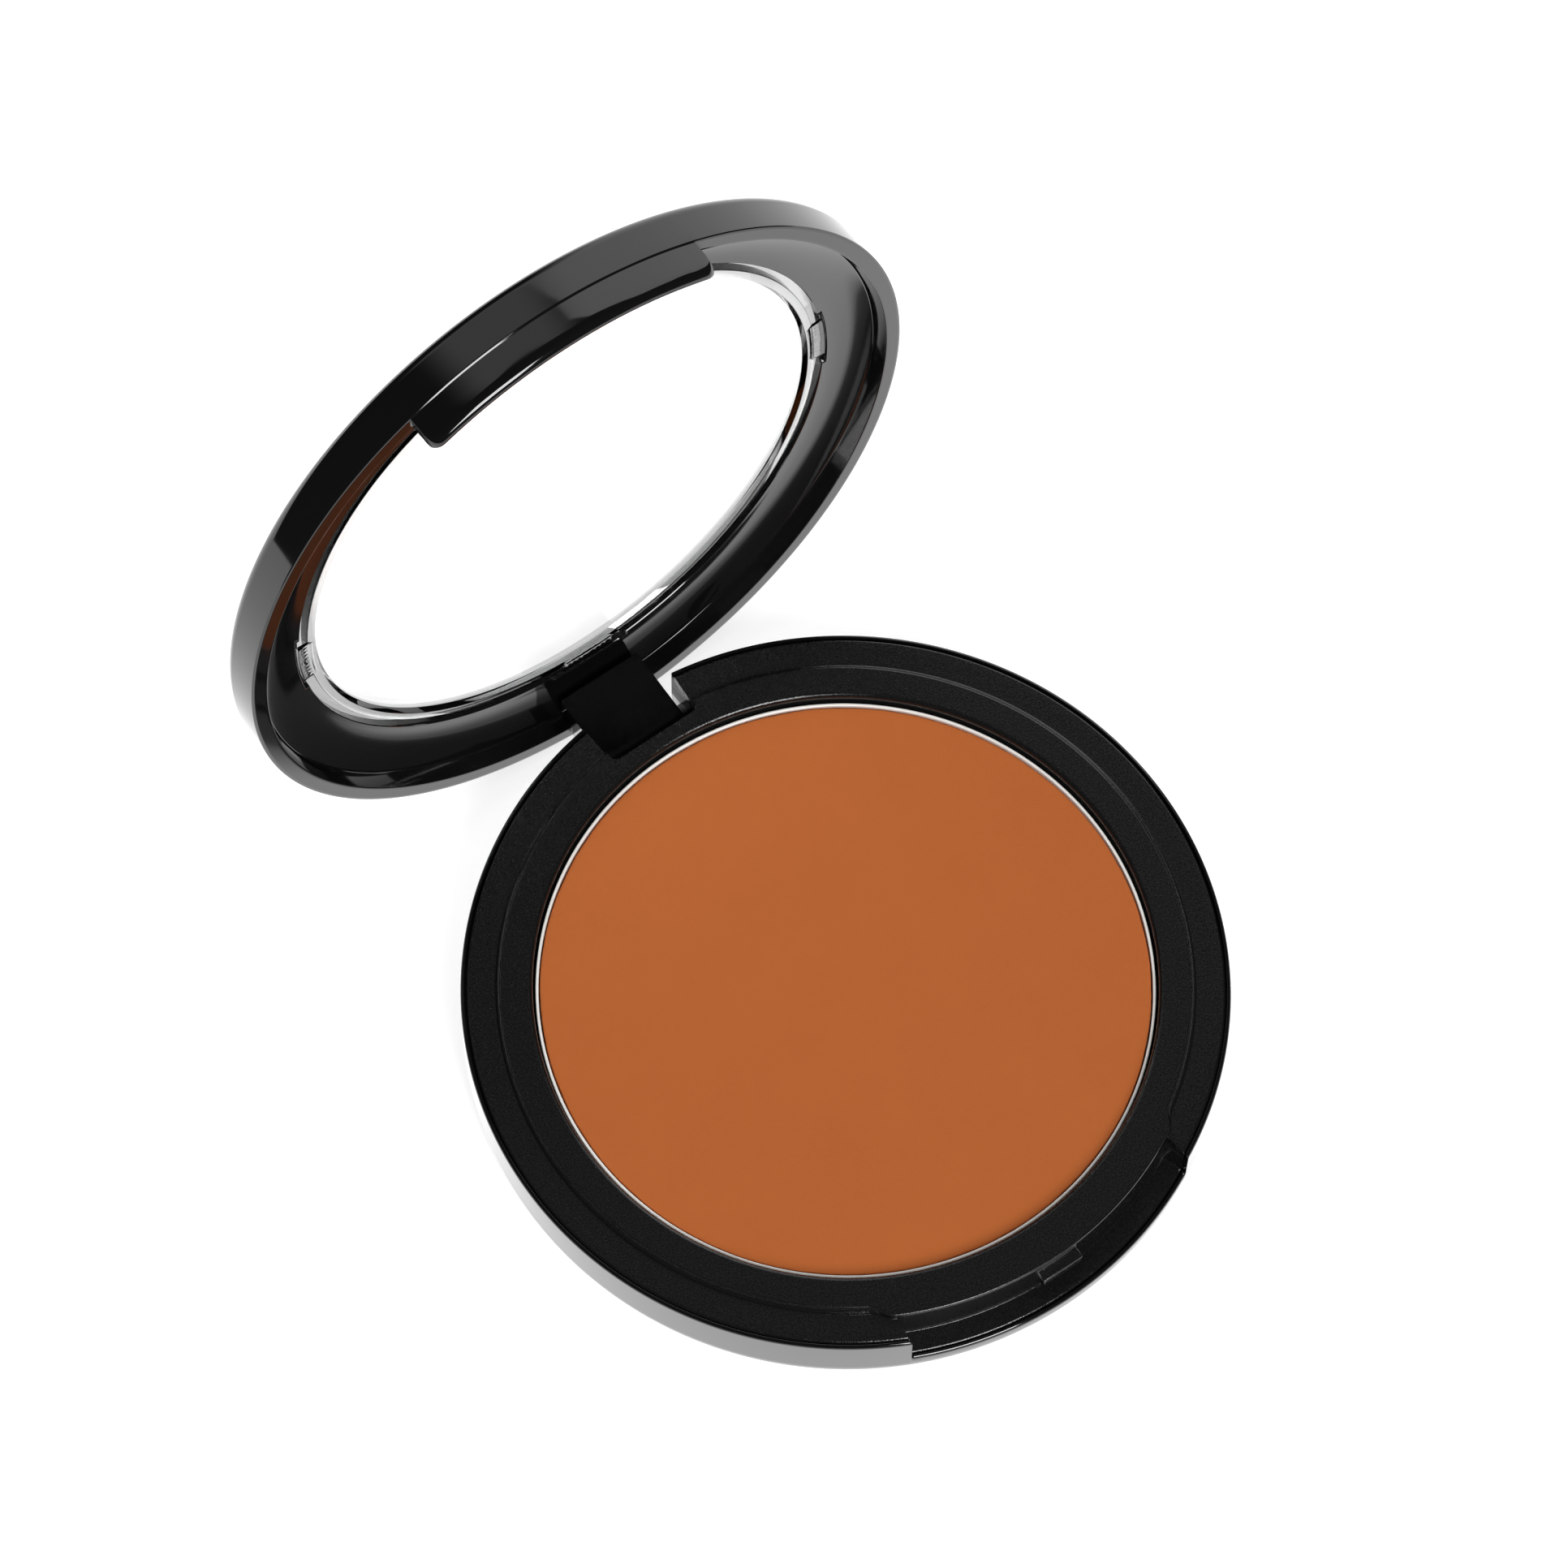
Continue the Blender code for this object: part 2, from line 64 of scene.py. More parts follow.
# ---------------------------------------------------------------- sizes, from the frame
shell_high = corners("base_shell")[1]
frame_high = corners("deck_frame")[1]
pan_low, pan_high = corners("powder_pan")
cake_low, cake_high = corners("powder_cake")
label_high = corners("base_label")[1]
pin_low, pin_high = corners("hinge_pin")
lens_high = corners("window_lens")[1]
hinge_joint = frame["joints"][0]
AXIS = Vector(hinge_joint["pos_m"]) / MM
OPEN = math.radians(hinge_joint["range_deg"][1])

CASE_R = shell_high.x
DECK_Z = shell_high.z
COLLAR_Z = frame_high.z
FRAME_R = frame_high.x + 0.14
PAN_R = pan_high.x
PAN_Z = pan_high.z
CAKE_Z = cake_high.z
PIN_R = (pin_high.z - pin_low.z) / 2
LENS_R = lens_high.x

# ---------------------------------------------------------------- sizes, of the pieces' own detail
GAP = 0.3                   # clearance between neighbouring pieces
FAR = 45.0                  # past every surface, for the ends of cutters
WALL_R = CASE_R - 1.6       # inside of the case wall
LIP_R = CASE_R - 0.4
FOOT = 3.9                  # rounding of the bottom edge
FLOOR_Z = 1.4               # top of the case floor
FLANGE_Z = DECK_Z - 1.2     # underside of the deck
LEDGE_Z = FLANGE_Z - GAP    # the case's ledge under the deck
COLLAR_R = 34.1
COLLAR_FOOT_R = 34.5
WELL_R = 30.85
WELL_OUT_R = WELL_R + 1.45
WELL_Z = 3.0                # floor of the well
WELL_LOW_Z = 2.0
NOTCH_R = 35.2
NOTCH_X = 16.25
NOTCH_FLARE = 0.35          # widening of the notch towards the outside
NOTCH_DROP = DECK_Z - 5.0
LUG_LOW = (-2.35, -36.25, 7.2)
LUG_HIGH = (2.35, -34.6, 8.7)
SLOT_Y = 32.55
SLOT_X = 5.05
SLOT_FLARE = 0.35
SLOT_FLOOR_Z = 1.3
EAR_X = 9.6                 # outer side of each hinge ear
EAR_LOW_Z = 2.6             # its underside, clear of the rounding of the bottom edge
EAR_ROOM = (32.0, 34.5)     # the case floor is cut down here, from y to y, for the lid's knuckle
EAR_ROOM_Z = 1.8
SILL_Y = 36.5
SILL_Z = 2.0
KNUCKLE_R = 2.31
KNUCKLE_END = 1.6           # radius of the knuckle's round end
KNUCKLE_X = 4.7
BORE_R = 0.9
RIM_Z = 9.7                 # the lid's rim plane when closed
LID_Z = RIM_Z + 5.0
LID_ROUND = 1.5
RIM_R = 36.25
RING_R = 30.7
RING_Z = RIM_Z + 2.95
SEAT_R = 31.4               # the step that the window sits in
SEAT_Z = RIM_Z + 3.9
DISH_R = 31.3               # where the dished underside of the ring starts
DISH_ARC = 10.0
DISH_EDGE_R = 35.75
DISH_TURN = 0.4
TONGUE_X = 16.0
TONGUE_DROP = 3.9
TONGUE_CORNER = 1.2
BEAD_LOW = (-2.4, -37.3, RIM_Z - 3.5)
BEAD_HIGH = (2.4, -36.5, RIM_Z - 2.7)
TAB_ANGLES = (0, 90, 180, 270)
POCKET_R = 31.15
POCKET_DEG = 16
HOOK_R = 30.95
HOOK_DEG = 11
LENS_FACE_Z = RIM_Z + 3.5   # inner face of the window
LENS_WALL_Z = RIM_Z + 3.0   # edge of the window's ring wall
LENS_WALL_R = 29.8
LENS_WALL_FOOT_R = 28.45
STEP_DEG = 1.25             # spacing of the stations round the axis
SMOOTH_DEG = 32             # edges sharper than this stay sharp


# ---------------------------------------------------------------- mesh helpers
def arc(centre_r, centre_z, radius, start, end, steps=5):
    """Points (radius, height) from angle start to end, in degrees."""
    points = []
    for i in range(steps + 1):
        angle = math.radians(start + (end - start) * i / steps)
        points.append((centre_r + radius * math.cos(angle), centre_z + radius * math.sin(angle)))
    return points


def new_object(name, bm, smooth_deg=SMOOTH_DEG):
    """Makes an object from a mesh in millimetres, shaded smooth but for its sharp edges."""
    bmesh.ops.recalc_face_normals(bm, faces=bm.faces)
    bmesh.ops.scale(bm, vec=(MM, MM, MM), verts=bm.verts)
    mesh = bpy.data.meshes.new(name)
    bm.to_mesh(mesh)
    bm.free()
    mesh.shade_smooth()
    mesh.set_sharp_from_angle(angle=math.radians(smooth_deg))
    obj = bpy.data.objects.new(name, mesh)
    bpy.context.scene.collection.objects.link(obj)
    return obj


def skin(bm, loops, closed):
    """Quads between neighbouring loops of vertices, the last joined to the first. A loop that is
    not closed starts and ends on the axis."""
    if not closed:
        top = bm.verts.new(loops[0][0])
        bottom = bm.verts.new(loops[0][-1])
        rows = [[bm.verts.new(p) for p in loop[1:-1]] for loop in loops]
    else:
        rows = [[bm.verts.new(p) for p in loop] for loop in loops]
    for a, b in zip(rows, rows[1:] + rows[:1]):
        for k in range(len(a) - 1):
            bm.faces.new((a[k], a[k + 1], b[k + 1], b[k]))
        if closed:
            bm.faces.new((a[-1], a[0], b[0], b[-1]))
        else:
            bm.faces.new((top, a[0], b[0]))
            bm.faces.new((a[-1], bottom, b[-1]))


def turned(name, outline, closed=False, step_deg=STEP_DEG):
    """Turns an outline of (radius, height) points about Z."""
    bm = bmesh.new()
    loops = []
    for i in range(round(360 / step_deg)):
        angle = math.radians(i * step_deg)
        loops.append([Vector((r * math.cos(angle), r * math.sin(angle), z)) for r, z in outline])
    skin(bm, loops, closed)
    return new_object(name, bm)


def step_stations(edge_x, depth, top_r, foot_r, steps=4):
    """(x, drop) pairs across an upright step at edge_x, from the high side outside to the low
    side within, with its top edge and its foot rounded."""
    pairs = []
    for i in range(steps + 1):
        a = math.pi / 2 * i / steps
        pairs.append((edge_x + top_r - top_r * math.sin(a), top_r * (1 - math.cos(a))))
    for i in range(steps + 1):
        a = math.pi / 2 * i / steps
        pairs.append((edge_x - foot_r + foot_r * math.cos(a), depth - foot_r + foot_r * math.sin(a)))
    return pairs


def front_point(x, r, z, root_r, zone, flare=0.0):
    """A point of the station that crosses radius root_r at x, on the front (-Y) side. Stations
    near the zone (low x, high x) run straight towards -Y and the others radially."""
    side = math.copysign(1.0, x)
    low, high = zone
    reach = abs(x)
    radial = max(0.0, min(1.0, max((low - reach) / 5.5, (reach - high) / 6.5)))
    if r <= root_r:
        px = x * r / root_r
    else:
        px = x + (r - root_r) / root_r * x * radial
        px += side * flare * (r - root_r) * (1 - radial) / (CASE_R - root_r)
    return Vector((px, -math.sqrt(r * r - px * px), z))


def station_xs(root_r, special):
    """The stations of a piece with a feature at the front: angles for the plain part of the
    circle, and x places at root_r for the front 80 degrees, where special x places are merged."""
    half = root_r * math.sin(math.radians(40))
    plain = [math.degrees(math.asin(x / root_r)) for x in special]
    xs = []
    for i in range(-32, 33):
        angle = i * STEP_DEG
        if all(abs(angle - p) > STEP_DEG * 0.6 for p in plain):
            xs.append(root_r * math.sin(math.radians(angle)))
    xs = sorted([x for x in xs if abs(x) <= half + 1e-6] + list(special))
    return xs


def back_angles():
    """Angles from -Y of the stations behind the front 80 degrees."""
    count = round(280 / STEP_DEG)
    return [40 + STEP_DEG * i for i in range(1, count)]


def back_point(angle, r, z):
    """A point at an angle from -Y, growing towards +X."""
    a = math.radians(angle)
    return Vector((r * math.sin(a), -r * math.cos(a), z))


def smooth(t):
    """An even rise from 0 to 1."""
    t = max(0.0, min(1.0, t))
    return t * t * (3 - 2 * t)


def box_mesh(name, low, high, radius=0.0, segments=4, chosen=None, flare=0.0):
    """A box between two corners, with all its edges or chosen ones rounded."""
    bm = bmesh.new()
    bmesh.ops.create_cube(bm, size=1.0)
    low = Vector(low)
    high = Vector(high)
    far_y = max(low.y, high.y, key=abs)
    for v in bm.verts:
        share = v.co + Vector((0.5, 0.5, 0.5))
        v.co = Vector(low[k] + (high[k] - low[k]) * share[k] for k in range(3))
        if v.co.y == far_y:
            v.co.x += math.copysign(flare, v.co.x)
    if radius:
        edges = [e for e in bm.edges if not chosen or chosen((e.verts[0].co + e.verts[1].co) / 2)]
        bmesh.ops.bevel(bm, geom=edges, offset=radius, segments=segments, profile=0.5, affect="EDGES")
    return new_object(name, bm)


def bar_x(name, radius, left, right, y, z, segments=48):
    """A round bar along X."""
    bm = bmesh.new()
    bmesh.ops.create_cone(
        bm, cap_ends=True, segments=segments, radius1=radius, radius2=radius, depth=right - left,
        matrix=Matrix.Translation(((left + right) / 2, y, z)) @ Matrix.Rotation(math.pi / 2, 4, "Y"),
    )
    return new_object(name, bm)


def sector(name, inner, outer, low, high, middle_deg, width_deg, steps=10):
    """A piece of a ring between two radii and two heights, centred on an angle."""
    bm = bmesh.new()
    rows = []
    for i in range(steps + 1):
        a = math.radians(middle_deg - width_deg / 2 + width_deg * i / steps)
        corners = ((inner, low), (outer, low), (outer, high), (inner, high))
        rows.append([bm.verts.new((r * math.cos(a), r * math.sin(a), z)) for r, z in corners])
    for a, b in zip(rows, rows[1:]):
        for k in range(4):
            bm.faces.new((a[k], a[(k + 1) % 4], b[(k + 1) % 4], b[k]))
    bm.faces.new(rows[0])
    bm.faces.new(rows[-1])
    return new_object(name, bm)


def apply_steps(obj):
    """Turns the modifiers of an object into its plain mesh."""
    bpy.context.view_layer.update()
    evaluated = obj.evaluated_get(bpy.context.evaluated_depsgraph_get())
    mesh = bpy.data.meshes.new_from_object(evaluated)
    obj.modifiers.clear()
    obj.data = mesh


def combine(obj, operation, tools):
    """Applies Boolean steps with each tool and removes the tools."""
    for tool in tools:
        step = obj.modifiers.new(tool.name, "BOOLEAN")
        step.solver = "EXACT"
        step.operation = operation
        step.object = tool
    apply_steps(obj)
    for tool in tools:
        bpy.data.objects.remove(tool)
    return obj


def round_edges(obj, chosen, width, segments=3):
    """Rounds the sharp edges that chosen(middle point in mm) picks."""
    bm = bmesh.new()
    bm.from_mesh(obj.data)
    bmesh.ops.remove_doubles(bm, verts=bm.verts, dist=0.000002)
    bmesh.ops.dissolve_degenerate(bm, edges=bm.edges, dist=0.000002)
    edges = []
    for e in bm.edges:
        if len(e.link_faces) != 2 or e.calc_face_angle(0.0) < math.radians(40):
            continue
        if chosen((e.verts[0].co + e.verts[1].co) / 2 / MM):
            edges.append(e)
    bmesh.ops.bevel(
        bm, geom=edges, offset=width * MM, segments=segments, profile=0.5, affect="EDGES",
        clamp_overlap=True,
    )
    bm.to_mesh(obj.data)
    bm.free()
    obj.data.shade_smooth()
    obj.data.set_sharp_from_angle(angle=math.radians(SMOOTH_DEG))
    return obj


def opened(obj):
    """Turns a lid piece, modelled closed, open about the hinge axis."""
    axis = AXIS * MM
    turn = Matrix.Translation(axis) @ Matrix.Rotation(-OPEN, 4, "X") @ Matrix.Translation(-axis)
    obj.data.transform(turn)
    return obj


# ---------------------------------------------------------------- pieces of the base
def case_piece():
    """The glossy case: a cup with a rounded bottom edge, a thin lip, the notch and the slot."""
    inner_round = 2.3
    lip_in = 0.05
    lip_out = 0.35
    recess_r = 22.35
    recess_z = 0.5
    chamfer = 0.1
    inner_c = WALL_R - inner_round
    outline = [(0.0, FLOOR_Z)] + arc(inner_c, FLOOR_Z + inner_round, inner_round, -90, 0, 6)
    outline += [(WALL_R, LEDGE_Z), (LIP_R, LEDGE_Z)]
    sinking_from = len(outline) - 2
    outline += arc(LIP_R + lip_in, DECK_Z - lip_in, lip_in, 180, 90, 2)
    outline += arc(LIP_R + lip_in, DECK_Z - lip_out, lip_out, 90, 0, 6)
    sinking_to = len(outline)
    outline += arc(CASE_R - FOOT, FOOT, FOOT, 0, -90, 14)
    outline += [(recess_r + chamfer, 0.0), (recess_r, chamfer), (recess_r, recess_z), (0.0, recess_z)]
    edge_x = NOTCH_X + NOTCH_FLARE
    steps = step_stations(edge_x, NOTCH_DROP, top_r=0.12, foot_r=0.35)
    special = [x for x, _ in steps] + [-x for x, _ in steps]
    drops = dict(steps)
    straight = (15.5, 17.5)
    bm = bmesh.new()
    loops = []
    for x in station_xs(WALL_R, special):
        drop = drops.get(abs(x), NOTCH_DROP if abs(x) < edge_x else 0.0)
        loop = []
        for k, (r, z) in enumerate(outline):
            if sinking_from <= k < sinking_to:
                z -= drop
            loop.append(front_point(x, r, z, WALL_R, straight))
        loops.append(loop)
    for angle in back_angles():
        loops.append([back_point(angle, r, z) for r, z in outline])
    skin(bm, loops, closed=False)
    case = new_object("case", bm)
    combine(case, "UNION", case_ears())
    combine(case, "DIFFERENCE", case_cuts())
    half = SLOT_X + SLOT_FLARE + 0.05
    return round_edges(case, lambda m: m.y > SLOT_Y - 0.05 and abs(m.x) < half and m.z > 0.2, 0.08)


def case_ears():
    """The two blocks inside the case that hold the hinge pin."""
    overlap = 0.2
    top_gap = 0.1
    ears = []
    for side in (-1, 1):
        xs = sorted((side * (SLOT_X - overlap), side * EAR_X))
        low = (xs[0], AXIS.y - KNUCKLE_R, EAR_LOW_Z)
        high = (xs[1], WALL_R, LEDGE_Z - top_gap)
        ears.append(box_mesh(f"ear_{side}", low, high))
    return ears


def case_cuts():
    """Cutters for the hinge slot, the knuckle's room, the sill and the pin's bore."""
    half = SLOT_X + SLOT_FLARE
    behind = 0.2
    slot_start = CASE_R - FOOT - behind
    return [
        box_mesh("slot_cut", (-half, slot_start, SLOT_FLOOR_Z), (half, FAR, FAR)),
        box_mesh("ear_cut", (-half, EAR_ROOM[0], EAR_ROOM_Z), (half, EAR_ROOM[1], FAR)),
        box_mesh("sill_cut", (-half, SILL_Y, -1), (half, FAR, SILL_Z)),
        bar_x("bore_cut", BORE_R, pin_low.x - 0.2, FAR, AXIS.y, AXIS.z),
    ]


def frame_section():
    """The insert's section. Each point is (radius, height, radius in the notch, share of the
    notch's drop)."""
    edge = 0.3
    top_edge = 0.22
    well_round = 0.3
    well_edge = 0.5
    shift = NOTCH_R - COLLAR_R
    foot_shift = NOTCH_R - COLLAR_FOOT_R
    well = [(0.0, WELL_Z), (WELL_R - well_round, WELL_Z), (WELL_R, WELL_Z + well_round)]
    well += arc(WELL_R + well_edge, COLLAR_Z - well_edge, well_edge, 180, 90, 7)
    points = [(r, z, r, 0.0) for r, z in well]
    for r, z in arc(COLLAR_R - top_edge, COLLAR_Z - top_edge, top_edge, 90, 0, 6):
        points.append((r, z, r + shift, 0.0))
    points.append((COLLAR_R + 0.04, COLLAR_Z - top_edge - 0.08, NOTCH_R, 0.0))
    points.append((COLLAR_FOOT_R - 0.06, DECK_Z + 0.2, NOTCH_R, 1.0))
    for r, z in arc(COLLAR_FOOT_R + 0.12, DECK_Z + 0.12, 0.15, 200, 270, 3):
        points.append((r, z, r + foot_shift, 1.0))
    points.append((36.2, DECK_Z, 36.5, 1.0))
    side = arc(FRAME_R - edge, DECK_Z - edge, edge, 90, 0, 5)
    side += [(FRAME_R, FLANGE_Z), (WELL_OUT_R, FLANGE_Z)]
    points += [(r, z, r, 1.0) for r, z in side]
    points += [(WELL_OUT_R, WELL_LOW_Z, WELL_OUT_R, 0.0), (0.0, WELL_LOW_Z, 0.0, 0.0)]
    return points


def frame_piece():
    """The satin insert: deck, collar with its shoulders beside the notch, well and notch floor."""
    section = frame_section()
    steps = step_stations(NOTCH_X, NOTCH_DROP, top_r=0.12, foot_r=0.3)
    drops = dict(steps)
    shoulder = 2.3
    bend = [NOTCH_X + 0.25 + 0.2 * i for i in range(1, 13)]
    special = [x for x, _ in steps] + bend
    special = special + [-x for x in special]
    straight = (15.5, 19.0)
    bm = bmesh.new()
    loops = []
    for x in station_xs(NOTCH_R, special):
        drop = drops.get(abs(x), NOTCH_DROP if abs(x) < NOTCH_X else 0.0)
        front = 1 - smooth((abs(x) - NOTCH_X - 0.12) / shoulder)
        loop = []
        for r, z, front_r, falls in section:
            r += (front_r - r) * front
            loop.append(front_point(x, r, z - drop * falls, NOTCH_R - 0.02, straight, NOTCH_FLARE))
        loops.append(loop)
    for angle in back_angles():
        loops.append([back_point(angle, r, z) for r, z, _, _ in section])
    skin(bm, loops, closed=False)
    deck = new_object("deck", bm)
    slot = box_mesh(
        "deck_slot",
        (-SLOT_X, SLOT_Y, -1),
        (SLOT_X, CASE_R + 0.2, FAR),
        radius=0.6,
        segments=6,
        chosen=lambda m: abs(m.y - SLOT_Y) < 0.01 and abs(m.x) > 1,
        flare=SLOT_FLARE,
    )
    combine(deck, "DIFFERENCE", [slot])
    slot_side = SLOT_X + 0.45
    round_edges(deck, lambda m: m.y > 32 and abs(m.x) < slot_side and m.z > 8.3, 0.08)
    lug = box_mesh("lug", LUG_LOW, LUG_HIGH, radius=0.16, segments=4)
    return combine(deck, "UNION", [lug])


def pan_piece():
    """The thin metal pan, with a softly rolled rim."""
    inner = PAN_R - 0.3
    floor_z = pan_low.z + 0.35
    inner_round = 0.5
    rim = 0.1
    foot = 0.8
    outline = [(0.0, floor_z), (inner - inner_round, floor_z), (inner, floor_z + inner_round)]
    outline += arc(inner + rim, PAN_Z - rim, rim, 180, 90, 4)
    outline += arc(PAN_R - rim, PAN_Z - rim, rim, 90, 0, 4)
    outline += arc(PAN_R - foot, pan_low.z + foot, foot, 0, -90, 6)
    outline += [(0.0, pan_low.z)]
    return turned("pan", outline)


def powder_piece():
    """The pressed powder: a faintly uneven edge against the pan and a shallow pressed face."""
    edge_r = cake_high.x + 0.13
    plain = 24
    count = 576
    rings = [edge_r * math.sqrt(i / plain) for i in range(1, plain)]
    rings += [edge_r - 0.25, edge_r - 0.1, edge_r - 0.03, edge_r]
    heights = [0.0] * plain + [-0.015, -0.07, -0.2]
    bm = bmesh.new()
    loops = []
    for i in range(count):
        a = 2 * math.pi * i / count
        ragged = noise.noise(Vector((math.cos(a) * 9, math.sin(a) * 9, 0.3))) * 0.05
        ragged += noise.noise(Vector((math.cos(a) * 40, math.sin(a) * 40, 2.1))) * 0.03
        loop = [Vector((0, 0, CAKE_Z))]
        for r, h in zip(rings, heights):
            spread = smooth((r - edge_r + 1.0) / 1.0)
            rr = r + ragged * spread - 0.03 * spread
            loop.append(Vector((rr * math.cos(a), rr * math.sin(a), CAKE_Z + h)))
        rr = edge_r - 0.06
        loop.append(Vector((rr * math.cos(a), rr * math.sin(a), cake_low.z)))
        loop.append(Vector((0, 0, cake_low.z)))
        loops.append(loop)
    skin(bm, loops, closed=False)
    return new_object("powder", bm, smooth_deg=60)


def label_piece():
    """The blank label in the recess underneath."""
    edge = 0.05
    centre_r = label_high.x - edge
    outline = [(0.0, label_high.z)] + arc(centre_r, label_high.z - edge, edge, 90, 0, 2)
    outline += arc(centre_r, edge, edge, 0, -90, 2) + [(0.0, 0.0)]
    return turned("label", outline)


def pin_piece():
    """The hinge pin, with chamfered ends."""
    pin = bar_x("pin", PIN_R + 0.1, pin_low.x, pin_high.x, AXIS.y, AXIS.z)
    return round_edges(pin, lambda m: m.x < pin_low.x + 0.01 or m.x > pin_high.x - 0.01, 0.15, 2)


# ---------------------------------------------------------------- pieces of the lid
def lid_section():
    """The lid ring's section, from the seat of the window over the outside to the hollow inside.
    Each point is (radius, height, tongue radius, tongue share of the drop)."""
    points = []

    def plain(pairs):
        points.extend((r, z, r, 0.0) for r, z in pairs)

    chamfer = 0.1
    rim_round = 0.18
    inner_round = 0.12
    plain([(SEAT_R, LID_Z - chamfer), (SEAT_R + chamfer, LID_Z), (34.0, LID_Z)])
    plain(arc(CASE_R - LID_ROUND, LID_Z - LID_ROUND, LID_ROUND, 90, 0, 10))
    plain([(CASE_R, RIM_Z + 1.2)])
    plain(arc(CASE_R - rim_round, RIM_Z + rim_round, rim_round, 0, -60, 4))
    outer = CASE_R - 0.15
    inner = outer - 1.0
    shares = [(outer, 0.01), (outer, 0.2), (outer, 0.5), (outer, 0.7)]
    for i in range(1, 7):
        a = math.pi / 2 * i / 6
        shares.append((inner + 0.15 + (outer - inner - 0.15) * math.cos(a), 0.744 + 0.256 * math.sin(a)))
    shares += [(inner + 0.04, 0.99), (inner, 0.95), (inner, 0.6), (inner, 0.3), (inner, 0.05)]
    count = len(shares)
    for i, (r, share) in enumerate(shares):
        flat_r = CASE_R - 0.25 - (1.0 + 0.1) * (i + 1) / (count + 1)
        points.append((flat_r, RIM_Z, r, share))
    plain([(inner - 0.25, RIM_Z)])
    plain(arc(RIM_R + inner_round, RIM_Z + inner_round, inner_round, 270, 190, 3))
    slope = math.asin((DISH_EDGE_R - DISH_R) / DISH_ARC)
    edge_z = RING_Z - DISH_ARC * (1 - math.cos(slope))
    centre = (DISH_EDGE_R - DISH_TURN * math.sin(slope), edge_z - DISH_TURN * math.cos(slope))
    start = 90 - math.degrees(slope)
    plain(arc(*centre, DISH_TURN, 4, start, 8))
    plain(arc(DISH_R, RING_Z - DISH_ARC, DISH_ARC, start, 90, 12)[1:])
    plain([(RING_R + 0.08, RING_Z), (RING_R, RING_Z + 0.08)])
    plain([(RING_R, SEAT_Z), (SEAT_R, SEAT_Z)])
    return points


def tongue_drop(x):
    """How far the tongue hangs below the rim plane at x, with its lower corners rounded."""
    corner = TONGUE_CORNER
    into = abs(x) - (TONGUE_X - corner)
    if into <= 0:
        return TONGUE_DROP
    return TONGUE_DROP - corner + math.sqrt(max(0.0, corner**2 - into**2))


def knuckle_block():
    """The block round the hinge pin, closed: a leaning front face, a round end and a flat back."""
    steps = 24
    lean = 0.34
    top = RIM_Z + 1.5 - AXIS.z
    side = [(KNUCKLE_R, top), (-KNUCKLE_R - lean, top)]
    for i in range(steps + 1):
        a = math.pi + math.pi * i / steps
        reach = KNUCKLE_END if i <= steps / 2 else KNUCKLE_R
        side.append((reach * math.cos(a), KNUCKLE_END * math.sin(a)))
    bm = bmesh.new()
    ends = []
    for x in (-KNUCKLE_X, KNUCKLE_X):
        ends.append([bm.verts.new((x, AXIS.y + y, AXIS.z + z)) for y, z in side])
    left, right = ends
    for k in range(len(side)):
        n = (k + 1) % len(side)
        bm.faces.new((left[k], left[n], right[n], right[k]))
    bm.faces.new(left)
    bm.faces.new(right)
    return round_edges(new_object("knuckle", bm), lambda m: True, 0.14, 3)


def lid_piece():
    """The glossy lid ring with its tongue, knuckle and hook pockets."""
    section = lid_section()
    corner_start = TONGUE_X - TONGUE_CORNER
    angles = (0, 15, 30, 45, 60, 72, 82, 90)
    corner = [corner_start + TONGUE_CORNER * math.sin(math.radians(a)) for a in angles]
    side = [TONGUE_X + 0.005 * i for i in (1, 2, 3)]
    straight = (14.5, 16.8)
    special = corner + side + [TONGUE_X + 0.15, TONGUE_X + 0.5]
    special = special + [-x for x in special]
    shares = {side[0]: 0.66, side[1]: 0.33, side[2]: 0.06}
    bm = bmesh.new()
    loops = []
    for x in station_xs(RIM_R, special):
        reach = abs(x)
        if reach <= TONGUE_X + 1e-9:
            weight = 1.0
        else:
            weight = shares.get(reach, 0.0)
        drop = tongue_drop(min(reach, TONGUE_X))
        loop = []
        for r, z, tongue_r, share in section:
            rr = r + (tongue_r - r) * weight
            zz = z - drop * share * weight
            loop.append(front_point(x, rr, zz, RIM_R, straight))
        loops.append(loop)
    for angle in back_angles():
        loops.append([back_point(angle, r, z) for r, z, _, _ in section])
    skin(bm, loops, closed=True)
    lid = new_object("lid", bm)
    block = knuckle_block()
    bead = box_mesh("bead", BEAD_LOW, BEAD_HIGH, radius=0.2)
    combine(lid, "UNION", [block, bead])
    cuts = [bar_x("knuckle_bore", BORE_R, -2 * KNUCKLE_X, 2 * KNUCKLE_X, AXIS.y, AXIS.z)]
    low = RING_Z - 0.3
    high = RIM_Z + 3.45
    for angle in TAB_ANGLES:
        name = f"pocket_{angle}"
        cuts.append(sector(name, RING_R - 1, POCKET_R, low, high, angle, POCKET_DEG))
    combine(lid, "DIFFERENCE", cuts)
    return lid


